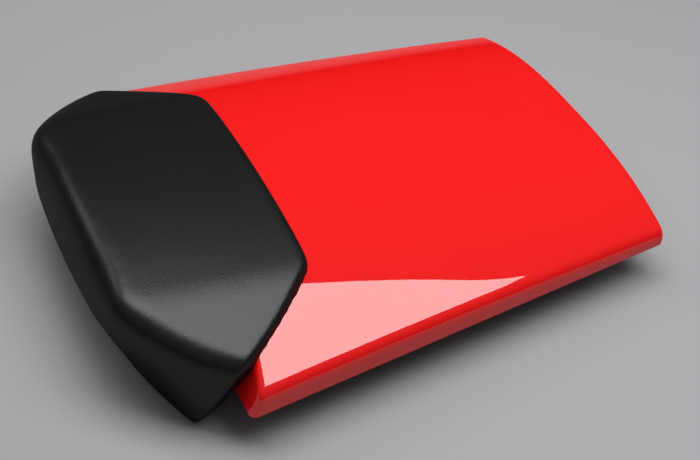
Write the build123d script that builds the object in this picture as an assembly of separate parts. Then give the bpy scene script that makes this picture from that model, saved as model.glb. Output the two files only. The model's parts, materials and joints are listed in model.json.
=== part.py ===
from build123d import *
from math import cos, radians, sin, sqrt, tan
import os

# Solo seat cowl for a motorcycle: a gloss moulded shell that clips over the pillion seat's place,
# with a soft bum pad on its front end. Millimetres and degrees.
# X runs rearwards, Y to the rider's right, Z up from the ground plane that the cowl stands on.
# While the pieces are made, X is measured from the foot of the shell's front wall.

# Shell
shell_length = 300.0
shell_front_width = 292.0
shell_rear_width = 235.0
front_lip_height = 27.0
rear_lip_height = 28.0
front_edge_height = 41.5
rear_edge_height = 37.2
front_crown_height = 75.0
rear_crown_height = 57.0
length_crown = 2.5
crown_power = 2.6
front_lean = 22.0
shell_wall = 3.0
side_radius = 9.5
front_radius = 4.0
rear_radius = 4.0
least_radius = 0.5

# Ribs inside the shell
rib_thickness = 2.0
rib_depth = 5.0
rib_lip_clearance = 3.0
front_rib_place = 66.0
middle_rib_place = 150.0

# Bum pad
pad_gap = 0.2
chin_reach = 46.8
chin_width = 234.8
chin_sweep = 23.4
chin_edge_radius = 1.5
heel_drop = 2.0
nose_lean = 12.7
nose_width = 150.0
nose_radius = 11.5
nose_corner_radius = 24.0
shoulder_setback = 0.5
shoulder_width = 267.2
shoulder_height = 57.0
cheek_taper = 16.0
cheek_margin = 1.0
pad_rear_run = 62.8
pad_rear_width = 166.4
pad_side_bow = 2.4
pad_rear_corner_radius = 18.0
pad_proud = 4.6
pad_tilt = 2.75
pad_crown_radius = 420.0
facet_inset = 17.0
facet_slope = 15.2
facet_blend_radius = 100.0
rim_radius = 4.0

# Studs moulded into the pad, with their washers and nuts
stud_diameter = 6.0
stud_spacing_x = 24.0
stud_spacing_y = 96.0
stud_setback = 24.0
stud_disc_diameter = 14.0
stud_disc_thickness = 1.5
stud_tail = 2.0
stud_hole_clearance = 0.3
stud_boss_diameter = 17.0
stud_boss_drop = 1.0
washer_diameter = 13.0
washer_thickness = 1.2
nut_across_flats = 10.0
nut_height = 5.0
thread_clearance = 0.1

# Striker bracket and the loop that the seat lock grips
bracket_place = 104.0
bracket_length = 40.0
bracket_thickness = 2.5
bracket_bend = 4.0
bracket_channel = 32.0
bracket_foot = 18.0
bracket_base_height = 25.0
bracket_screw_spacing = 24.0
loop_rod = 8.0
loop_span = 20.0
loop_bottom = 4.0
loop_bend = 9.0

# Rear tongue that hooks under the tail
tongue_width = 48.0
tongue_thickness = 3.0
tongue_bend = 5.0
tongue_height = 12.0
tongue_reach = 26.0
tongue_foot = 26.0
tongue_inset = 8.0
tongue_screw_spacing = 28.0

# Tapping screws and their bosses
screw_diameter = 4.5
screw_bite = 6.0
screw_head_diameter = 9.5
screw_head_height = 3.0
screw_socket = 4.0
screw_socket_depth = 1.6
pilot_clearance = 0.1
pilot_spare = 1.0
hole_clearance = 0.3
screw_boss_diameter = 11.0
screw_boss_roof = 1.5

# Rubber rests under the rear half, and the pillars that carry them
rest_place = 222.0
rest_spacing = 150.0
rest_diameter = 24.0
rest_height = 16.0
rest_edge_radius = 2.0
rest_stem_diameter = 8.0
rest_stem_length = 11.0
rest_stem_clearance = 0.1
pillar_diameter = 20.0
gusset_thickness = 2.0
gusset_reach = 24.0
gusset_start = 8.0

# Spline points on half a cross-section, and the sections as shares of the shell's length
SECTION_STEPS = 6
STATIONS = (-0.12, 0.25, 0.65, 1.05)
# Shares by which the flanks and the side arcs of the pad run on past the shoulders, to be cut there
FLANK_RUN_ON = 1.0
SIDE_RUN_ON = 0.5
FAR = 2 * (shell_length + shell_front_width)


def blend(front, rear, x):
    """Value between the front and the rear one at a place along the shell."""
    return front + (rear - front) * x / shell_length


def half_width(x):
    return blend(shell_front_width, shell_rear_width, x) / 2


def crown_height(x):
    share = x / shell_length
    return blend(front_crown_height, rear_crown_height, x) + length_crown * 4 * share * (1 - share)


def crown_fall(x):
    front = front_crown_height - front_edge_height
    rear = rear_crown_height - rear_edge_height
    return blend(front, rear, x)


def top_height(x, y):
    """Height of the shell's outer top face."""
    return crown_height(x) - crown_fall(x) * (abs(y) / half_width(x)) ** crown_power


def front_face_x(height):
    """Place of the leaning front wall's outer face at a height."""
    return (height - front_lip_height) * tan(radians(front_lean))


def seat_height(x, y, reach):
    """Lowest height of the shell's inner top face within reach of a place."""
    return top_height(x + reach, abs(y) + reach) - shell_wall


def section(x, inset, floor):
    """Cross-section of the shell's form at x, moved in by inset and reaching down to floor."""
    half = half_width(x) - inset
    crown = []
    for step in range(-SECTION_STEPS, SECTION_STEPS + 1):
        share = step / SECTION_STEPS
        fall = crown_fall(x) * abs(share) ** crown_power
        crown.append(Vector(x, half * share, crown_height(x) - inset - fall))
    right_foot = Vector(x, half, floor)
    left_foot = Vector(x, -half, floor)
    return Wire(
        [
            Edge.make_spline(crown),
            Edge.make_line(crown[-1], right_foot),
            Edge.make_line(right_foot, left_foot),
            Edge.make_line(left_foot, crown[0]),
        ]
    )


def skin(inset, drop=0.0):
    """Solid inside the shell's outer face moved in by inset, reaching drop below the lip.

    Only the forms that are not moved in have rounded front and rear rims.
    """
    floor = min(front_lip_height, rear_lip_height) - drop - shell_wall
    form = Solid.make_loft([section(share * shell_length, inset, floor) for share in STATIONS])
    front = inset / cos(radians(front_lean))
    rear = shell_length - inset
    ceiling = front_crown_height + rear_crown_height
    side_view = [
        (front_face_x(front_lip_height - drop) + front, front_lip_height - drop),
        (rear, rear_lip_height - drop),
        (rear, ceiling),
        (front_face_x(ceiling) + front, ceiling),
    ]
    trim = extrude(Plane.XZ * make_face(Polyline(*side_view, close=True)), FAR, both=True)
    body = (form & trim).solid()
    long_edges = body.edges().filter_by(lambda edge: edge.length > shell_length / 2)
    side_edges = long_edges.filter_by(lambda edge: abs(edge.center().Y) > half_width(0) / 2)
    shoulders = side_edges.sort_by(Axis.Z)[-2:]
    body = fillet(shoulders, max(side_radius - inset, least_radius)).solid()
    if inset > 0:
        return body
    for end, radius in ((0, front_radius), (-1, rear_radius)):
        end_face = body.faces().sort_by(Axis.X)[end]
        rim = end_face.edges().sort_by(Axis.Z)[1:]
        body = fillet(rim, radius - inset).solid()
    return body


def upright(diameter, bottom, top, x, y):
    """Vertical cylinder between two heights."""
    base = (Align.CENTER, Align.CENTER, Align.MIN)
    return Pos(x, y, bottom) * Cylinder(diameter / 2, top - bottom, align=base)


def rectangle_places(x, spacing_x, spacing_y):
    """Four places in a rectangle about x on the middle plane."""
    return [(x + sx * spacing_x / 2, sy * spacing_y / 2) for sx in (-1, 1) for sy in (-1, 1)]


def pair_places(x, spacing_y):
    """Two places, one on each side of the middle plane."""
    return [(x, side * spacing_y / 2) for side in (-1, 1)]


stud_places = rectangle_places(pad_rear_run - stud_setback, stud_spacing_x, stud_spacing_y)
rest_places = pair_places(rest_place, rest_spacing)


def boss_seat(places):
    """Height of the faces that a set of screw bosses share."""
    lowest = min(seat_height(x, y, screw_boss_diameter / 2) for x, y in places)
    return lowest + shell_wall - screw_bite - pilot_spare - screw_boss_roof


foot_middle = bracket_channel / 2 + bracket_thickness + bracket_foot / 2
bracket_screw_places = rectangle_places(bracket_place, bracket_screw_spacing, 2 * foot_middle)
bracket_seat = boss_seat(bracket_screw_places)

tongue_tip = shell_length - tongue_inset
tongue_leg = tongue_tip - tongue_reach
tongue_screw_places = pair_places(tongue_leg - tongue_bend - tongue_foot / 2, tongue_screw_spacing)
tongue_seat = boss_seat(tongue_screw_places)


shoulder = Vector(shoulder_setback, shoulder_width / 2, shoulder_height)


def stud_boss_face(x, y):
    """Height of the flat that a pad stud's washer bears on."""
    return seat_height(x, y, stud_boss_diameter / 2) - stud_boss_drop


def corner_arc(before, corner, after, radius):
    """Arc that rounds a corner between two straight runs."""
    back = (before - corner).normalized()
    ahead = (after - corner).normalized()
    half_angle = radians(back.get_angle(ahead)) / 2
    reach = radius / tan(half_angle)
    middle = corner + (back + ahead).normalized() * (radius / sin(half_angle) - radius)
    return ThreePointArc(corner + back * reach, middle, corner + ahead * reach)


def pad_apex(x):
    """Height of the pad's top along its middle."""
    return crown_height(pad_rear_run) + pad_proud + (pad_rear_run - x) * tan(radians(pad_tilt))


def walls_top():
    """Height, clear above the pad's top, that its walls are ruled up to."""
    return pad_apex(-2 * chin_reach)


def chin_point(y):
    """Point of the pad's bottom front edge, an arc on the ground plane."""
    half = chin_width / 2
    radius = (half**2 + chin_sweep**2) / (2 * chin_sweep)
    return Vector(radius - sqrt(radius**2 - y**2) - chin_reach, y, 0)


def chin_arc(start_y, end_y):
    return ThreePointArc(chin_point(start_y), chin_point((start_y + end_y) / 2), chin_point(end_y))


def closed_ring(front, right, rear):
    """Closed wire from its front edge, its right-hand edges in order, and its rear edge."""
    left = [edge.mirror(Plane.XZ) for edge in reversed(right)]
    return Wire([front, *right, rear, *left])


def above_chin(point, height):
    """Place at a height on the line from the chin's end through a point."""
    chin_end = chin_point(chin_width / 2)
    return chin_end + (point - chin_end) * (height / point.Z)


def side_ring(front, rear):
    """Closed wire of four straight runs between two points and their mirror images."""
    ahead = Line(Vector(front.X, -front.Y, front.Z), front)
    behind = Line(rear, Vector(rear.X, -rear.Y, rear.Z))
    return closed_ring(ahead, [Line(front, rear)], behind)


def pad_walls():
    """The pad's nose and flanks, ruled from the chin's arc up to an outline above its top."""
    level = walls_top()
    nose_x = -chin_reach - level * tan(radians(nose_lean))
    nose_corner = Vector(nose_x, nose_width / 2, level)
    shoulder_top = above_chin(shoulder, level)
    flank_end = shoulder_top + (shoulder_top - nose_corner) * FLANK_RUN_ON
    nose_arc = corner_arc(Vector(nose_x, 0, level), nose_corner, shoulder_top, nose_corner_radius)
    nose_start = nose_arc @ 0
    nose_end = nose_arc @ 1
    upper = closed_ring(
        Line(Vector(nose_x, -nose_start.Y, level), nose_start),
        [nose_arc, Line(nose_end, flank_end)],
        Line(flank_end, Vector(flank_end.X, -flank_end.Y, level)),
    )
    share = chin_width / 2 / shoulder_top.Y
    foot_end = chin_point(flank_end.Y * share)
    lower = closed_ring(
        chin_arc(-nose_start.Y * share, nose_start.Y * share),
        [chin_arc(nose_start.Y * share, nose_end.Y * share), chin_arc(nose_end.Y * share, foot_end.Y)],
        Line(foot_end, Vector(foot_end.X, -foot_end.Y, 0)),
    )
    return Solid.make_loft([lower, upper], ruled=True)


def between_cheeks():
    """Everything between the two cheek faces, which narrow rearwards."""
    level = walls_top()
    run = Vector(1, -tan(radians(cheek_taper)), 0) * (pad_rear_run + chin_reach)
    foot = chin_point(chin_width / 2)
    top = above_chin(shoulder + Vector(0, cheek_margin, 0), level)
    rings = [side_ring(middle - run, middle + run) for middle in (foot, top)]
    return Solid.make_loft(rings, ruled=True)


def pad_plan():
    """Upright prism of the pad's outline behind its shoulders, open to the front."""
    rear_corner = Vector(pad_rear_run, pad_rear_width / 2, 0)
    front_end = Vector(shoulder.X, shoulder.Y, 0)
    outwards = (front_end - rear_corner).normalized().rotate(Axis.Z, -90)
    bulge = (front_end + rear_corner) / 2 + outwards * pad_side_bow
    side = ThreePointArc(front_end, bulge, rear_corner)
    side = ThreePointArc(side @ -SIDE_RUN_ON, bulge, rear_corner)
    front_corner = side @ 0 - (side % 0) * shoulder_width
    outline = closed_ring(
        Line(Vector(front_corner.X, -front_corner.Y, 0), front_corner),
        [Line(front_corner, side @ 0), side],
        Line(rear_corner, Vector(rear_corner.X, -rear_corner.Y, 0)),
    )
    corners = Face(outline).vertices().sort_by(Axis.X)[-2:]
    return extrude(fillet(corners, pad_rear_corner_radius), FAR, both=True)


def pad_cap():
    """Everything below the pad's top: a crowned middle facet and two falling side facets."""
    start = pad_rear_run + facet_inset
    apex = pad_apex(start)
    crease = pad_rear_width / 2 - facet_inset
    crease_height = apex - pad_crown_radius + sqrt(pad_crown_radius**2 - crease**2)
    outer_height = crease_height - (shoulder_width - crease) * tan(radians(facet_slope))
    profile = make_face(
        [
            ThreePointArc((-crease, crease_height), (0, apex), (crease, crease_height)),
            Polyline(
                (crease, crease_height),
                (shoulder_width, outer_height),
                (shoulder_width, -apex),
                (-shoulder_width, -apex),
                (-shoulder_width, outer_height),
                (-crease, crease_height),
            ),
        ]
    )
    creases = [corner for corner in profile.vertices() if abs(corner.X) < crease + least_radius]
    profile = fillet(creases, facet_blend_radius)
    forwards = (-cos(radians(pad_tilt)), 0, sin(radians(pad_tilt)))
    return extrude(Plane.YZ.offset(start) * profile, FAR, dir=forwards)


def rim_edges(form):
    """Edges round the top of a form of the pad."""
    tops = [face for face in form.faces() if face.normal_at().Z > cos(radians(2 * facet_slope))]
    rim = []
    for edge in form.edges():
        owners = [face for face in tops if any(edge.is_same(other) for other in face.edges())]
        if len(owners) == 1:
            rim.append(edge)
    return rim


def pad_form():
    """The pad before it is fitted to the shell, with its rim and chin rounded."""
    form = (pad_walls() & pad_plan() & pad_cap()).solid()
    nose = [edge for edge in rim_edges(form) if edge.center().X < shoulder_setback]
    form = form.fillet(nose_radius, nose).solid()
    rim = [edge for edge in rim_edges(form) if edge.center().X > shoulder_setback]
    form = form.fillet(rim_radius, rim).solid()
    form = (form & between_cheeks()).solid()
    ground = [edge for edge in form.edges() if edge.bounding_box().max.Z < least_radius]
    chin = [edge for edge in ground if edge.geom_type == GeomType.CIRCLE]
    return form.fillet(chin_edge_radius, chin).solid()


def pad_studs():
    """Threaded studs on flat discs that are moulded into the pad."""
    studs = []
    for x, y in stud_places:
        reach = stud_disc_diameter / 2
        seat = top_height(x - reach, abs(y) - reach) + pad_gap
        tail = stud_boss_face(x, y) - washer_thickness - nut_height - stud_tail
        disc = upright(stud_disc_diameter, seat, seat + stud_disc_thickness, x, y)
        studs.append(disc + upright(stud_diameter, tail, seat, x, y))
    return studs


def bum_pad(studs):
    """Soft moulding over the shell's front end, with a chin that reaches the ground plane."""
    heel = [
        (chin_point(chin_width / 2).X, 0),
        (0, front_lip_height - heel_drop),
        (FAR, front_lip_height - heel_drop),
        (FAR, -FAR),
        (chin_point(chin_width / 2).X, -FAR),
    ]
    below_heel = extrude(Plane.XZ * make_face(Polyline(*heel, close=True)), FAR, both=True)
    pad = pad_form() - skin(-pad_gap, 2 * front_lip_height) - below_heel
    for stud in studs:
        pad = pad - stud
    return pad.solid()


def pad_washers():
    rings = []
    for x, y in stud_places:
        face = stud_boss_face(x, y)
        hole = stud_diameter + 2 * stud_hole_clearance
        disc = upright(washer_diameter, face - washer_thickness, face, x, y)
        rings.append(disc - upright(hole, face - washer_thickness, face, x, y))
    return rings


def pad_nuts():
    nuts = []
    for x, y in stud_places:
        top = stud_boss_face(x, y) - washer_thickness
        hexagon = RegularPolygon(nut_across_flats / 2, 6, major_radius=False)
        body = extrude(Pos(x, y, top - nut_height) * hexagon, nut_height)
        nuts.append(body - upright(stud_diameter + 2 * thread_clearance, top - nut_height, top, x, y))
    return nuts


def bent_sheet(points, thickness, bend):
    """Profile of a sheet that lies to the right of a path with rounded corners."""
    path = FilletPolyline(*points, radius=bend)
    return make_face(path.offset_2d(thickness, side=Side.RIGHT, closed=True))


def screw_holes(places, bottom, top):
    """Cylinders that clear the tapping screws."""
    return [upright(screw_diameter + 2 * hole_clearance, bottom, top, x, y) for x, y in places]


def striker_bracket():
    """Hat-section bracket of bent sheet, with its feet under the bosses."""
    leg = bracket_channel / 2
    foot_end = leg + bracket_thickness + bracket_foot
    points = [
        (-foot_end, bracket_seat),
        (-leg, bracket_seat),
        (-leg, bracket_base_height),
        (leg, bracket_base_height),
        (leg, bracket_seat),
        (foot_end, bracket_seat),
    ]
    sheet = Plane.YZ.offset(bracket_place) * bent_sheet(points, bracket_thickness, bracket_bend)
    bracket = extrude(sheet, bracket_length / 2, both=True)
    for hole in screw_holes(bracket_screw_places, bracket_seat - bracket_thickness, bracket_seat):
        bracket = bracket - hole
    return bracket.solid()


def striker_loop():
    """Round rod bent to a U and welded under the bracket's base."""
    top = bracket_base_height - bracket_thickness
    bar = loop_bottom + loop_rod / 2
    half = (loop_span + loop_rod) / 2
    corners = [(0, -half, top), (0, -half, bar), (0, half, bar), (0, half, top)]
    path = Pos(bracket_place, 0, 0) * FilletPolyline(*corners, radius=loop_bend)
    rod = Plane(origin=path @ 0, z_dir=path % 0) * Circle(loop_rod / 2)
    return sweep(rod, path=path).solid()


def rear_tongue():
    """Bent strip: a foot under two bosses, a leg and a tongue that points rearwards."""
    points = [
        (tongue_leg - tongue_bend - tongue_foot, tongue_seat),
        (tongue_leg, tongue_seat),
        (tongue_leg, tongue_height),
        (tongue_tip, tongue_height),
    ]
    sheet = Plane.XZ * bent_sheet(points, tongue_thickness, tongue_bend)
    tongue = extrude(sheet, tongue_width / 2, both=True)
    for hole in screw_holes(tongue_screw_places, tongue_seat - tongue_thickness, tongue_seat):
        tongue = tongue - hole
    return tongue.solid()


def tapping_screws(places, seat, sheet):
    """Screws driven upwards through a sheet into the bosses above it."""
    screws = []
    for x, y in places:
        face = seat - sheet
        head = upright(screw_head_diameter, face - screw_head_height, face, x, y)
        socket = RegularPolygon(screw_socket / 2, 6, major_radius=False)
        recess = extrude(Pos(x, y, face - screw_head_height) * socket, screw_socket_depth)
        screws.append(head + upright(screw_diameter, face, seat + screw_bite, x, y) - recess)
    return screws


def rest_bumpers():
    """Rubber rests with stems that press into the pillars."""
    bumpers = []
    for x, y in rest_places:
        foot = upright(rest_diameter, 0, rest_height, x, y)
        foot = fillet(foot.edges().filter_by(GeomType.CIRCLE).sort_by(Axis.Z)[0], rest_edge_radius)
        stem_top = rest_height + rest_stem_length
        bumpers.append(foot + upright(rest_stem_diameter, rest_height, stem_top, x, y))
    return bumpers


def rib_planes():
    """Thin upright slabs: two along the shell and three across it."""
    slabs = []
    for x, y in rest_places:
        slabs.append(Pos(x, y, 0) * Box(FAR, rib_thickness, FAR))
    for x in (front_rib_place, middle_rib_place, rest_place):
        slabs.append(Pos(x, 0, 0) * Box(rib_thickness, FAR, FAR))
    return slabs


def gussets(x, y):
    """Two crossing triangles that steady a pillar."""
    start = rest_height + gusset_start
    ceiling = front_crown_height + rear_crown_height
    rise = (ceiling - start) / (seat_height(x, y, 0) - start)
    flank = [(0, start), (gusset_reach * rise, ceiling), (-gusset_reach * rise, ceiling)]
    face = make_face(Polyline(*flank, close=True))
    along = extrude(Plane.XZ * face, gusset_thickness / 2, both=True)
    across = extrude(Plane.YZ * face, gusset_thickness / 2, both=True)
    return [Pos(x, y, 0) * along, Pos(x, y, 0) * across]


def cowl_shell():
    """Moulded skin, open underneath, with ribs, bosses and pillars inside."""
    ceiling = front_crown_height + rear_crown_height
    core = skin(shell_wall / 2, front_lip_height)
    inner = skin(shell_wall, front_lip_height)
    rib_space = skin(shell_wall / 2, -rib_lip_clearance) - skin(shell_wall + rib_depth, front_lip_height)
    shell = skin(0) - inner
    inside = []
    for slab in rib_planes():
        inside += (slab & rib_space).solids()
    posts = []
    for x, y in stud_places:
        posts.append(upright(stud_boss_diameter, stud_boss_face(x, y), ceiling, x, y))
    for x, y in bracket_screw_places:
        posts.append(upright(screw_boss_diameter, bracket_seat, ceiling, x, y))
    for x, y in tongue_screw_places:
        posts.append(upright(screw_boss_diameter, tongue_seat, ceiling, x, y))
    for x, y in rest_places:
        posts.append(upright(pillar_diameter, rest_height, ceiling, x, y))
        posts += gussets(x, y)
    for post in posts:
        inside += (post & core).solids()
    shell = shell.fuse(*inside)
    holes = []
    for x, y in stud_places:
        holes.append(upright(stud_diameter + 2 * stud_hole_clearance, 0, ceiling, x, y))
    pilot = screw_diameter + 2 * pilot_clearance
    for x, y in bracket_screw_places:
        holes.append(upright(pilot, bracket_seat, bracket_seat + screw_bite + pilot_spare, x, y))
    for x, y in tongue_screw_places:
        holes.append(upright(pilot, tongue_seat, tongue_seat + screw_bite + pilot_spare, x, y))
    socket = rest_stem_diameter + 2 * rest_stem_clearance
    for x, y in rest_places:
        holes.append(upright(socket, rest_height, rest_height + rest_stem_length + pilot_spare, x, y))
    return shell.cut(*holes).solid()


studs = pad_studs()
pad = bum_pad(studs)
shell = cowl_shell()
nodes = {
    "cowl_shell": shell,
    "bum_pad": pad,
    "pad_studs": studs,
    "pad_washers": pad_washers(),
    "pad_nuts": pad_nuts(),
    "striker_bracket": striker_bracket(),
    "striker_loop": striker_loop(),
    "striker_screws": tapping_screws(bracket_screw_places, bracket_seat, bracket_thickness),
    "rear_tongue": rear_tongue(),
    "tongue_screws": tapping_screws(tongue_screw_places, tongue_seat, tongue_thickness),
    "rest_bumpers": rest_bumpers(),
}

# The origin lies under the middle of the whole length
middle = Pos(-(pad.bounding_box().min.X + shell.bounding_box().max.X) / 2, 0, 0)
os.makedirs("parts", exist_ok=True)
for name, piece in nodes.items():
    solids = piece if isinstance(piece, list) else [piece]
    placed = [(middle * solid).solid() for solid in solids]
    export_step(placed[0] if len(placed) == 1 else Compound(placed), f"parts/{name}.step")
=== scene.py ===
"""Looks of a motorcycle seat cowl: gloss red shell, satin black bum pad, plated steel underneath."""

import json
from math import cos, pi, radians, sin

import bmesh
import bpy
import numpy as np
from mathutils import Matrix, Vector
from mathutils.bvhtree import BVHTree


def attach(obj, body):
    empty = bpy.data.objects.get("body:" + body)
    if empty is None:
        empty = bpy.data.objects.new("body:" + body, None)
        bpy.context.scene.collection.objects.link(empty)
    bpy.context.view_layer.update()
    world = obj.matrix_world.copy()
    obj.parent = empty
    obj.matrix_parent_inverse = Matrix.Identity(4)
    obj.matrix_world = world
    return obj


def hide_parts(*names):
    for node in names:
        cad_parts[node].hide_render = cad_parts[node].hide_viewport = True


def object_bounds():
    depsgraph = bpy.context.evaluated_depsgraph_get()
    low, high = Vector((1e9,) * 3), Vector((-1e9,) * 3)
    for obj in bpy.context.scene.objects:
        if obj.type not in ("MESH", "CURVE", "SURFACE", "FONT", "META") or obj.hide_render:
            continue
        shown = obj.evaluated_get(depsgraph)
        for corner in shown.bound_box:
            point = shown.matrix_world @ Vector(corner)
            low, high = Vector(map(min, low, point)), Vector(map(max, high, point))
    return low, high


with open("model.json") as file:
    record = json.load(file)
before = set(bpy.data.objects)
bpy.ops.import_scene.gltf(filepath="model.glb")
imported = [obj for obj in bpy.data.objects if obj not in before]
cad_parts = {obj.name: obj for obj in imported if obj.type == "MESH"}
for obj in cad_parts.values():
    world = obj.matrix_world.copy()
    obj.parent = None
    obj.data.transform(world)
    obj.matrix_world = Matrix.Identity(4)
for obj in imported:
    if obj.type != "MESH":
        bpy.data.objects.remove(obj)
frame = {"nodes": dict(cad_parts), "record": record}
cad_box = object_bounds()

# Camera, from the photograph's floor: place in metres, angles in degrees
IMAGE_WIDTH = 700
FOCAL_PIXELS = 1283.2
SENSOR_WIDTH = 36.0
CAMERA_PLACE = Vector((-0.29586, -0.55253, 0.58816))
CAMERA_AZIMUTH = 60.66
CAMERA_ELEVATION = -43.05
CAMERA_ROLL = -4.99

# Meshes: points closer than this are one, and directions whose product is above this agree
WELD = 1e-6
ALIGNED = 0.8

# Shell: its crown is split into short edges and set on a smooth surface fitted through its points
SKIN_REACH = 0.0003
CROWN_EDGE = 0.004
CROWN_SPLITS = 5
CROWN_PASSES = 5
CROWN_FIT = 0.00006
CROWN_REACH = 0.00025
CROWN_TURN = radians(3)
LENGTH_POWERS = range(5)
WIDTH_POWERS = range(0, 13, 2)
CROWN_POWERS = [(along, across) for along in LENGTH_POWERS for across in WIDTH_POWERS]

# Foam pad: its voxels and easing, and its seat on the shell and round the studs
PAD_VOXEL = 0.0015
PAD_SMOOTH_STEPS = 8
PAD_SEAT = 0.0004
PAD_SINK = 0.003
PAD_CLEARANCE = 0.00015
PAD_SHARP = radians(40)
POCKET_REACH = 0.00002

# Top of the pad: its fall along the middle, and the creases beside the middle facet, as made and as moved
TOP_HEIGHT = 0.0748
TOP_FALL = 0.048
CREASE_SLOPE = 0.1437
SHOULDER = 0.1336
MADE_CREASE = 0.0662
MADE_BLEND = 0.006
MADE_FACET_SLOPE = 0.2717
MOVED_CREASE = 0.0915
MOVED_SPREAD = 0.044
MOVED_BLEND = 0.009
MOVED_DEPTH = 0.05
MOVED_CLEAR = 0.002

# Nose of the pad: the part that is reshaped, the set-back of its rim and the bulge of its wall
NOSE_FRONT = -0.184
NOSE_REACH = 0.06
NOSE_FOOT = 0.045
NOSE_FADE = 0.035
NOSE_HALF = 0.102
NOSE_CORNER = 0.055
NOSE_SETBACK = 0.0065
NOSE_BULGE = 0.0045
NOSE_STEPS = 60

# Flanks of the pad: both ends of their rim, as places along and across, and its bow
FLANK_START = (NOSE_FRONT, 0.075)
FLANK_END = (-0.118, SHOULDER)
FLANK_TOP = 0.055
FLANK_REACH = 0.04
FLANK_BOW = 0.0095

# Stage: lamp radiance against a diffuse white of 1
FLOOR_SIZE = 8.0
FLOOR_COLOR = (0.36, 0.36, 0.37)
FLOOR_ROUGHNESS = 0.7
HORIZON_STRENGTH = 0.03
ZENITH_STRENGTH = 0.25
SOFTBOX_PLACE = (0.197, -0.118, 1.2)
SOFTBOX_TURN = (0.0, 0.0, radians(-43.8))
SOFTBOX_SIZE = (1.4, 0.6)
SOFTBOX_RADIANCE = 6.2
FILL_PLACE = (-0.75, 1.1, 1.3)
FILL_SIZE = (0.7, 0.7)
FILL_RADIANCE = 2.5


def link(thing):
    """An object put into the scene."""
    bpy.context.scene.collection.objects.link(thing)
    return thing


class Nodes:
    """A new procedural material, with short ways to add and join its nodes."""

    def __init__(self, name, color, roughness, metallic=0.0):
        self.material = bpy.data.materials.new(name)
        self.material.use_nodes = True
        self.tree = self.material.node_tree
        self.shader = self.tree.nodes["Principled BSDF"]
        self.put("Base Color", (*color, 1.0))
        self.put("Roughness", roughness)
        self.put("Metallic", metallic)
        self.place = self.add("ShaderNodeTexCoord").outputs["Object"]

    def add(self, kind, **settings):
        node = self.tree.nodes.new(kind)
        for key, value in settings.items():
            setattr(node, key, value)
        return node

    def join(self, source, target):
        self.tree.links.new(source, target)

    def put(self, socket, value):
        """A constant on one of the shader's sockets."""
        self.shader.inputs[socket].default_value = value

    def feed(self, socket, source):
        """Another node's output on one of the shader's sockets."""
        self.join(source, self.shader.inputs[socket])

    def noise(self, size, detail=2.0, stretch=(1.0, 1.0, 1.0)):
        """Noise whose grains are about size metres across."""
        node = self.add("ShaderNodeTexNoise")
        node.inputs["Scale"].default_value = 1.0 / size
        node.inputs["Detail"].default_value = detail
        mapping = self.add("ShaderNodeMapping")
        mapping.inputs["Scale"].default_value = stretch
        self.join(self.place, mapping.inputs["Vector"])
        self.join(mapping.outputs["Vector"], node.inputs["Vector"])
        return node.outputs["Fac"]

    def cells(self, size):
        """Rounded pebbles about size metres across."""
        node = self.add("ShaderNodeTexVoronoi", feature="SMOOTH_F1")
        node.inputs["Scale"].default_value = 1.0 / size
        self.join(self.place, node.inputs["Vector"])
        return node.outputs["Distance"]

    def spread(self, value, low, high):
        """A value from 0 to 1 moved to the range low to high."""
        node = self.add("ShaderNodeMapRange")
        node.inputs["To Min"].default_value = low
        node.inputs["To Max"].default_value = high
        self.join(value, node.inputs["Value"])
        return node.outputs["Result"]

    def mix(self, share, first, second):
        """Colour between two colours."""
        node = self.add("ShaderNodeMix", data_type="RGBA")
        self.join(share, node.inputs["Factor"])
        node.inputs["A"].default_value = (*first, 1.0)
        node.inputs["B"].default_value = (*second, 1.0)
        return node.outputs["Result"]

    def bump(self, height, depth, *layers):
        """Relief of the given depth in metres, of the base or of the layers named."""
        node = self.add("ShaderNodeBump")
        node.inputs["Distance"].default_value = depth
        self.join(height, node.inputs["Height"])
        for layer in layers or ("Normal",):
            self.feed(layer, node.outputs["Normal"])


def gloss_red():
    """Clear-coated red paint with a faint orange peel."""
    nodes = Nodes("gloss_red_paint", (0.845, 0.005, 0.0055), 0.4)
    nodes.put("Specular IOR Level", 0.0)
    nodes.put("Coat Weight", 0.51)
    nodes.put("Coat Roughness", 0.015)
    nodes.put("Coat IOR", 2.05)
    nodes.feed("Base Color", nodes.mix(nodes.noise(0.09), (0.83, 0.0045, 0.0050), (0.86, 0.0055, 0.0060)))
    nodes.feed("Roughness", nodes.spread(nodes.noise(0.004), 0.36, 0.44))
    nodes.bump(nodes.noise(0.003), 0.000002)
    return nodes.material


def raw_plastic():
    """Bare black plastic, with the fine grain of the mould, on the inside of the shell."""
    nodes = Nodes("bare_moulded_plastic", (0.03, 0.03, 0.031), 0.55)
    grain = nodes.noise(0.0007)
    nodes.feed("Base Color", nodes.mix(nodes.noise(0.02), (0.026, 0.026, 0.027), (0.034, 0.034, 0.035)))
    nodes.feed("Roughness", nodes.spread(grain, 0.48, 0.62))
    nodes.bump(grain, 0.00004)
    return nodes.material


def pad_skin():
    """Black skin with the fine grain of moulded foam, under a thin satin film."""
    nodes = Nodes("pad_foam_skin", (0.006, 0.006, 0.0061), 0.6)
    nodes.put("Specular IOR Level", 0.0)
    nodes.put("Coat Weight", 0.19)
    nodes.put("Coat Roughness", 0.33)
    nodes.put("Coat IOR", 2.3)
    nodes.feed("Base Color", nodes.mix(nodes.noise(0.03), (0.005, 0.005, 0.0051), (0.007, 0.007, 0.0071)))
    nodes.feed("Roughness", nodes.spread(nodes.noise(0.0012), 0.55, 0.65))
    nodes.bump(nodes.cells(0.0008), 0.00006, "Normal", "Coat Normal")
    return nodes.material


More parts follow.
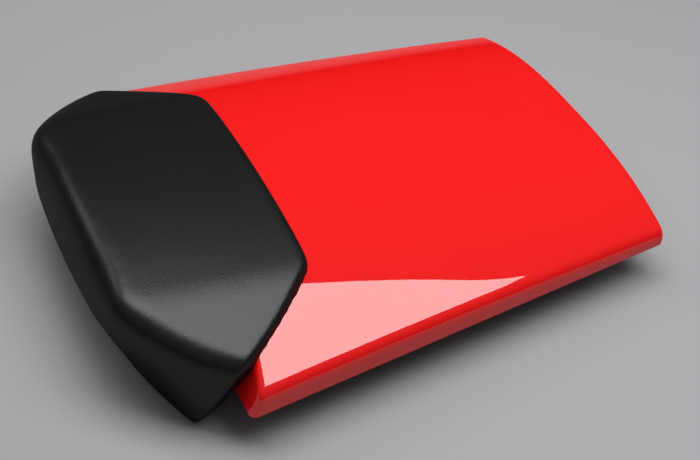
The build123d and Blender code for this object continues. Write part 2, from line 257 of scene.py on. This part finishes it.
def zinc_steel():
    """Bright zinc plate with faint drawn streaks."""
    nodes = Nodes("zinc_plate", (0.62, 0.63, 0.65), 0.3, 1.0)
    nodes.feed("Base Color", nodes.mix(nodes.noise(0.006), (0.56, 0.57, 0.60), (0.68, 0.685, 0.69)))
    streaks = nodes.noise(0.0006, 3.0, (1.0, 1.0, 0.15))
    nodes.feed("Roughness", nodes.spread(streaks, 0.22, 0.40))
    nodes.bump(streaks, 0.00002)
    return nodes.material


def black_steel():
    """Satin black powder coat with a fine ripple."""
    nodes = Nodes("black_powder_coat", (0.018, 0.018, 0.019), 0.42)
    ripple = nodes.noise(0.0011)
    nodes.feed("Base Color", nodes.mix(ripple, (0.015, 0.015, 0.016), (0.021, 0.021, 0.022)))
    nodes.feed("Roughness", nodes.spread(ripple, 0.36, 0.48))
    nodes.bump(ripple, 0.00006)
    return nodes.material


def rest_rubber():
    """Matt moulded rubber."""
    nodes = Nodes("moulded_rubber", (0.014, 0.014, 0.014), 0.7)
    grain = nodes.noise(0.0008)
    nodes.feed("Base Color", nodes.mix(grain, (0.011, 0.011, 0.011), (0.018, 0.018, 0.018)))
    nodes.feed("Roughness", nodes.spread(grain, 0.62, 0.80))
    nodes.bump(grain, 0.00005)
    return nodes.material


def coat(mesh, *materials):
    """Materials set on a mesh in place of its own, before any face is given one of them."""
    mesh.materials.clear()
    for material in materials:
        mesh.materials.append(material)


def welded(mesh):
    """A mesh's faces joined into one closed shape."""
    shape = bmesh.new()
    shape.from_mesh(mesh)
    bmesh.ops.remove_doubles(shape, verts=shape.verts, dist=WELD)
    shape.normal_update()
    return shape


def shell_hull(margin=0.0):
    """Convex hull of the shell, on which its outer faces lie, moved out by a margin."""
    shape = bmesh.new()
    for vertex in frame["nodes"]["cowl_shell"].data.vertices:
        shape.verts.new(vertex.co)
    bmesh.ops.remove_doubles(shape, verts=shape.verts, dist=WELD)
    bmesh.ops.convex_hull(shape, input=shape.verts)
    loose = [vertex for vertex in shape.verts if not vertex.link_faces]
    bmesh.ops.delete(shape, geom=loose, context="VERTS")
    shape.normal_update()
    places = [vertex.co + vertex.normal * margin for vertex in shape.verts]
    for vertex, place in zip(shape.verts, places):
        vertex.co = place
    return shape


def mark_inside(shape):
    """Faces inside the shell, apart from the edge of its lip, take the second material."""
    tree = BVHTree.FromBMesh(shell_hull())
    outside = set()
    for face in shape.faces:
        _, normal, _, distance = tree.find_nearest(face.calc_center_median())
        if distance < SKIN_REACH and normal.dot(face.normal) > ALIGNED:
            outside.add(face)
    skin = {vertex for face in outside for vertex in face.verts}
    for face in shape.faces:
        is_lip = face.normal.z < -ALIGNED and any(vertex in skin for vertex in face.verts)
        face.material_index = 0 if face in outside or is_lip else 1


def split_crown(shape):
    """Long edges on the shell's top halved until they are short."""
    for _ in range(CROWN_SPLITS):
        edges = []
        for edge in shape.edges:
            is_top = all(face.normal.z > ALIGNED for face in edge.link_faces)
            if is_top and edge.calc_length() > CROWN_EDGE:
                edges.append(edge)
        bmesh.ops.subdivide_edges(shape, edges=edges, cuts=1)
        large = [face for face in shape.faces if len(face.verts) > 3]
        bmesh.ops.triangulate(shape, faces=large)
        shape.normal_update()


def powers(x, y):
    """Terms of the crown's surface at points, in shares of the half length and half width."""
    return np.stack([x**along * y**across for along, across in CROWN_POWERS], axis=1)


def slopes(x, y, factors):
    """Slopes of the crown's surface along x and y."""
    along_x = np.zeros_like(x)
    along_y = np.zeros_like(x)
    for (along, across), factor in zip(CROWN_POWERS, factors):
        if along:
            along_x += factor * along * x ** (along - 1) * y**across
        if across:
            along_y += factor * across * x**along * y ** (across - 1)
    return along_x, along_y


def smooth_crown(mesh):
    """Crown points set on one smooth surface fitted through them, with its normals."""
    half = np.array(cad_box[1])[:2]
    points = np.zeros((len(mesh.vertices), 3))
    mesh.vertices.foreach_get("co", points.ravel())
    corners = np.zeros((len(mesh.polygons), 3), int)
    mesh.loops.foreach_get("vertex_index", corners.ravel())
    faces_up = np.zeros((len(mesh.polygons), 3))
    mesh.polygons.foreach_get("normal", faces_up.ravel())
    is_up = faces_up[:, 2] > ALIGNED
    x, y = (points[:, :2] / half).T
    terms = powers(x, y)
    crown = np.unique(corners[is_up])
    for step in range(CROWN_PASSES):
        factors = np.linalg.lstsq(terms[crown], points[crown, 2], rcond=None)[0]
        error = np.abs(terms @ factors - points[:, 2])
        crown = crown[error[crown] < CROWN_FIT * 2 ** (CROWN_PASSES - step)]
    normals = np.zeros((len(mesh.polygons), 3, 3))
    mesh.attributes["shade"].data.foreach_get("vector", normals.ravel())
    mesh.attributes.remove(mesh.attributes["shade"])
    normals /= np.linalg.norm(normals, axis=2, keepdims=True)
    along_x, along_y = slopes(x, y, factors)
    fitted = np.stack([-along_x / half[0], -along_y / half[1], np.ones_like(x)], axis=1)
    fitted /= np.linalg.norm(fitted, axis=1, keepdims=True)
    agree = (normals * fitted[corners]).sum(axis=2) > cos(CROWN_TURN)
    is_crown = is_up & (agree & (error[corners] < CROWN_REACH)).all(axis=1)
    inner = np.setdiff1d(corners[is_crown], corners[~is_crown])
    points[inner, 2] = (terms @ factors)[inner]
    mesh.vertices.foreach_set("co", points.ravel())
    normals[is_crown] = fitted[corners[is_crown]]
    mesh.normals_split_custom_set(normals.reshape(-1, 3))


def painted_shell(paint, plastic):
    """The shell with a finely divided, smoothly shaded crown, painted outside and bare inside."""
    mesh = frame["nodes"]["cowl_shell"].data.copy()
    mesh.name = "cowl_shell_paint"
    coat(mesh, paint, plastic)
    normals = np.zeros(len(mesh.loops) * 3)
    mesh.corner_normals.foreach_get("vector", normals)
    mesh.attributes.new("shade", "FLOAT_VECTOR", "CORNER").data.foreach_set("vector", normals)
    shape = welded(mesh)
    mark_inside(shape)
    split_crown(shape)
    shape.to_mesh(mesh)
    shape.free()
    smooth_crown(mesh)
    return link(bpy.data.objects.new("cowl_shell_paint", mesh))


def smooth_points(points, edges, steps, share=1.0):
    """Points moved by half a share of the way to the mean of their neighbours, several times."""
    count = np.zeros(len(points))
    np.add.at(count, edges.ravel(), 1)
    for _ in range(steps):
        total = np.zeros_like(points)
        np.add.at(total, edges[:, 0], points[edges[:, 1]])
        np.add.at(total, edges[:, 1], points[edges[:, 0]])
        points = points + share * (total / count[:, None] - points) / 2
    return points


def eased(share):
    """A share from 0 to 1 that starts and ends gently."""
    share = np.clip(share, 0, 1)
    return share**2 * (3 - 2 * share)


def sink_seat(shape):
    """The pad's faces on the shell moved into it, along the walls that they end at."""
    tree = BVHTree.FromBMesh(welded(frame["nodes"]["cowl_shell"].data))
    seated = {}
    for vertex in shape.verts:
        _, normal, _, distance = tree.find_nearest(vertex.co)
        if distance < PAD_SEAT:
            seated[vertex] = normal
    moves = {}
    for vertex, normal in seated.items():
        inwards = -normal
        for face in vertex.link_faces:
            is_wall = not all(other in seated for other in face.verts)
            if is_wall and abs(face.normal.dot(normal)) < ALIGNED:
                inwards = inwards - face.normal * inwards.dot(face.normal)
        moves[vertex] = inwards * PAD_SINK
    for vertex, move in moves.items():
        vertex.co += move


def fill_pockets(shape):
    """The pockets of the studs closed, to be cut again once the foam is eased."""
    tree = BVHTree.FromBMesh(welded(frame["nodes"]["pad_studs"].data))
    pockets = [vertex for vertex in shape.verts if tree.find_nearest(vertex.co)[3] < POCKET_REACH]
    bmesh.ops.delete(shape, geom=pockets, context="VERTS")
    bmesh.ops.holes_fill(shape, edges=shape.edges, sides=0)
    bmesh.ops.triangulate(shape, faces=shape.faces)
    shape.normal_update()


def fall(across, crease, blend, facet_slope):
    """How far the pad's top falls from its middle: over the crown, round a crease, down a facet."""
    inner = crease - blend
    bend = CREASE_SLOPE / inner
    turn = (facet_slope - CREASE_SLOPE) / (2 * blend)
    past_inner = np.maximum(across - inner, 0)
    past_outer = np.maximum(across - crease - blend, 0)
    return (bend * across**2 + (turn - bend) * past_inner**2 - turn * past_outer**2) / 2


def made_top(points):
    """Height of the solid pad's top over points."""
    across = np.minimum(np.abs(points[:, 1]), SHOULDER)
    return TOP_HEIGHT - TOP_FALL * points[:, 0] - fall(across, MADE_CREASE, MADE_BLEND, MADE_FACET_SLOPE)


def moved_top(points):
    """Height over points of the pad's top with its creases moved out, and its shoulders kept."""
    across = np.minimum(np.abs(points[:, 1]), SHOULDER)
    crease = MOVED_CREASE + MOVED_SPREAD * points[:, 0]
    kept = fall(SHOULDER, MADE_CREASE, MADE_BLEND, MADE_FACET_SLOPE)
    level = fall(SHOULDER, crease, MOVED_BLEND, 0.0)
    slope = (kept - level) / (fall(SHOULDER, crease, MOVED_BLEND, 1.0) - level)
    return TOP_HEIGHT - TOP_FALL * points[:, 0] - fall(across, crease, MOVED_BLEND, slope)


def move_creases(points):
    """The creases beside the pad's middle facet moved out to the corners of its rim."""
    tree = BVHTree.FromBMesh(shell_hull())
    clear = np.zeros(len(points))
    for index, point in enumerate(points):
        place, normal, _, distance = tree.find_nearest(point)
        is_outside = (Vector(point) - place).dot(normal) > 0
        clear[index] = distance if is_outside else 0.0
    top = made_top(points)
    depth = top - points[:, 2]
    lift = moved_top(points) - top
    moved = points.copy()
    moved[:, 2] += lift * eased(1 - depth / MOVED_DEPTH) * eased(clear / MOVED_CLEAR)
    return moved


def bow_flanks(points):
    """The rims between the side facets and the flanks bowed out, most of all half way along."""
    run = np.array(FLANK_END) - np.array(FLANK_START)
    length = np.linalg.norm(run)
    outwards = np.array((-run[1], run[0])) / length
    side = np.sign(points[:, 1])
    offset = np.stack([points[:, 0], np.abs(points[:, 1])], axis=1) - np.array(FLANK_START)
    share = np.clip(offset @ run / length**2, 0, 1)
    near = eased(1 + (offset @ outwards) / FLANK_REACH)
    low = 1 - np.clip(points[:, 2] / FLANK_TOP, 0, 1)
    amount = FLANK_BOW * 4 * share * (1 - share) * near * (1 - low**2)
    bowed = points.copy()
    bowed[:, 0] += amount * outwards[0]
    bowed[:, 1] += amount * outwards[1] * side
    bowed[:, 2] += moved_top(bowed) - moved_top(points)
    return bowed


def round_nose(points, edges):
    """The rim over the pad's nose set back and rounded further, and the wall under it bulged."""
    near_front = eased(1 - (points[:, 0] - NOSE_FRONT) / NOSE_REACH)
    near_rim = eased((points[:, 2] - NOSE_FOOT) / NOSE_FADE)
    near_middle = eased((NOSE_HALF - np.abs(points[:, 1])) / NOSE_CORNER)
    off_ground = eased(points[:, 2] / NOSE_FOOT)
    share = near_front * near_rim * near_middle
    rounded = points.copy()
    rounded[:, 0] += NOSE_SETBACK * share
    rounded[:, 0] -= NOSE_BULGE * near_front * near_middle * (1 - near_rim) * off_ground
    rounded[:, 2] -= NOSE_SETBACK * share * TOP_FALL
    part = np.flatnonzero(share)
    part_index = np.full(len(points), -1)
    part_index[part] = np.arange(len(part))
    part_edges = part_index[edges]
    part_edges = part_edges[(part_edges >= 0).all(axis=1)]
    rounded[part] = smooth_points(rounded[part], part_edges, NOSE_STEPS, share[part, None])
    return rounded


def apply_modifiers(thing):
    """An object's mesh replaced by what its modifiers make of it."""
    graph = bpy.context.evaluated_depsgraph_get()
    mesh = bpy.data.meshes.new_from_object(thing.evaluated_get(graph))
    thing.modifiers.clear()
    thing.data = mesh


def take_away(thing, cutter):
    """Cut a closed mesh out of an object."""
    tool = link(bpy.data.objects.new("cutter", cutter))
    cut = thing.modifiers.new("cut", "BOOLEAN")
    cut.operation = "DIFFERENCE"
    cut.solver = "MANIFOLD"
    cut.object = tool
    apply_modifiers(thing)
    bpy.data.objects.remove(tool)


def new_mesh(name, shape):
    """A mesh made of a shape, which is used up."""
    mesh = bpy.data.meshes.new(name)
    shape.to_mesh(mesh)
    shape.free()
    return mesh


def foam_pad():
    """The pad as a soft moulding: its solid reshaped and eased, then cut to sit on the shell."""
    shape = welded(frame["nodes"]["bum_pad"].data)
    fill_pockets(shape)
    sink_seat(shape)
    thing = link(bpy.data.objects.new("bum_pad_foam", new_mesh("bum_pad_foam", shape)))
    remesh = thing.modifiers.new("voxels", "REMESH")
    remesh.mode = "VOXEL"
    remesh.voxel_size = PAD_VOXEL
    apply_modifiers(thing)
    mesh = thing.data
    points = np.zeros((len(mesh.vertices), 3))
    mesh.vertices.foreach_get("co", points.ravel())
    edges = np.zeros((len(mesh.edges), 2), int)
    mesh.edges.foreach_get("vertices", edges.ravel())
    points = bow_flanks(move_creases(points))
    points = smooth_points(points, edges, PAD_SMOOTH_STEPS)
    points = round_nose(points, edges)
    points[:, 2] = np.maximum(points[:, 2], cad_box[0].z)
    mesh.vertices.foreach_set("co", points.ravel())
    take_away(thing, new_mesh("shell_form", shell_hull(PAD_CLEARANCE)))
    take_away(thing, new_mesh("stud_form", welded(frame["nodes"]["pad_studs"].data)))
    thing.data.polygons.foreach_set("use_smooth", [True] * len(thing.data.polygons))
    thing.data.set_sharp_from_angle(angle=PAD_SHARP)
    return thing


def floor():
    """Plain pale floor under the cowl."""
    half = FLOOR_SIZE / 2
    corners = [(-half, -half, 0), (half, -half, 0), (half, half, 0), (-half, half, 0)]
    mesh = bpy.data.meshes.new("floor")
    mesh.from_pydata(corners, [], [(0, 1, 2, 3)])
    coat(mesh, Nodes("pale_floor", FLOOR_COLOR, FLOOR_ROUGHNESS).material)
    return link(bpy.data.objects.new("floor", mesh))


def softbox(name, place, turn, size, radiance):
    """Area lamp of the given radiance, which faces down before it is turned."""
    lamp = bpy.data.lights.new(name, "AREA")
    lamp.shape = "RECTANGLE"
    lamp.size, lamp.size_y = size
    lamp.energy = radiance * pi * lamp.size * lamp.size_y
    thing = link(bpy.data.objects.new(name, lamp))
    thing.location = place
    thing.rotation_euler = turn


def studio_light():
    """A wide softbox overhead, a weak fill on the far left, and a dim surround, brighter overhead."""
    softbox("softbox", SOFTBOX_PLACE, SOFTBOX_TURN, SOFTBOX_SIZE, SOFTBOX_RADIANCE)
    fill_turn = (-Vector(FILL_PLACE)).to_track_quat("-Z", "Y").to_euler()
    softbox("fill", FILL_PLACE, fill_turn, FILL_SIZE, FILL_RADIANCE)
    world = bpy.data.worlds.new("surround")
    bpy.context.scene.world = world
    world.use_nodes = True
    tree = world.node_tree
    place = tree.nodes.new("ShaderNodeTexCoord")
    split = tree.nodes.new("ShaderNodeSeparateXYZ")
    rise = tree.nodes.new("ShaderNodeMapRange")
    rise.inputs["To Min"].default_value = HORIZON_STRENGTH
    rise.inputs["To Max"].default_value = ZENITH_STRENGTH
    tree.links.new(place.outputs["Generated"], split.inputs["Vector"])
    tree.links.new(split.outputs["Z"], rise.inputs["Value"])
    tree.links.new(rise.outputs["Result"], tree.nodes["Background"].inputs["Strength"])
    tree.nodes["Background"].inputs["Color"].default_value = (1.0, 1.0, 1.0, 1.0)


def camera():
    """Camera at the photograph's viewpoint."""
    azimuth = radians(CAMERA_AZIMUTH)
    elevation = radians(CAMERA_ELEVATION)
    ahead = Vector((cos(azimuth) * cos(elevation), sin(azimuth) * cos(elevation), sin(elevation)))
    right = Vector((sin(azimuth), -cos(azimuth), 0.0))
    turn = Matrix.Rotation(radians(CAMERA_ROLL), 3, ahead)
    right = turn @ right
    up = right.cross(ahead)
    data = bpy.data.cameras.new("camera")
    data.sensor_width = SENSOR_WIDTH
    data.lens = FOCAL_PIXELS / IMAGE_WIDTH * SENSOR_WIDTH
    thing = link(bpy.data.objects.new("camera", data))
    axes = Matrix((right, up, -ahead)).transposed()
    thing.matrix_world = Matrix.Translation(CAMERA_PLACE) @ axes.to_4x4()
    bpy.context.scene.camera = thing


bpy.context.scene.view_settings.view_transform = "Standard"

MATERIALS = {
    "gloss_red": gloss_red(),
    "pad_skin": pad_skin(),
    "zinc_steel": zinc_steel(),
    "black_steel": black_steel(),
    "rest_rubber": rest_rubber(),
}
for subpart in frame["record"]["subparts"]:
    coat(frame["nodes"][subpart["node"]].data, MATERIALS[subpart["material_slot"]])

shell = painted_shell(MATERIALS["gloss_red"], raw_plastic())
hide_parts("cowl_shell")
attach(shell, "root")

pad = foam_pad()
coat(pad.data, MATERIALS["pad_skin"])
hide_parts("bum_pad")
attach(pad, "root")

floor()
studio_light()
camera()
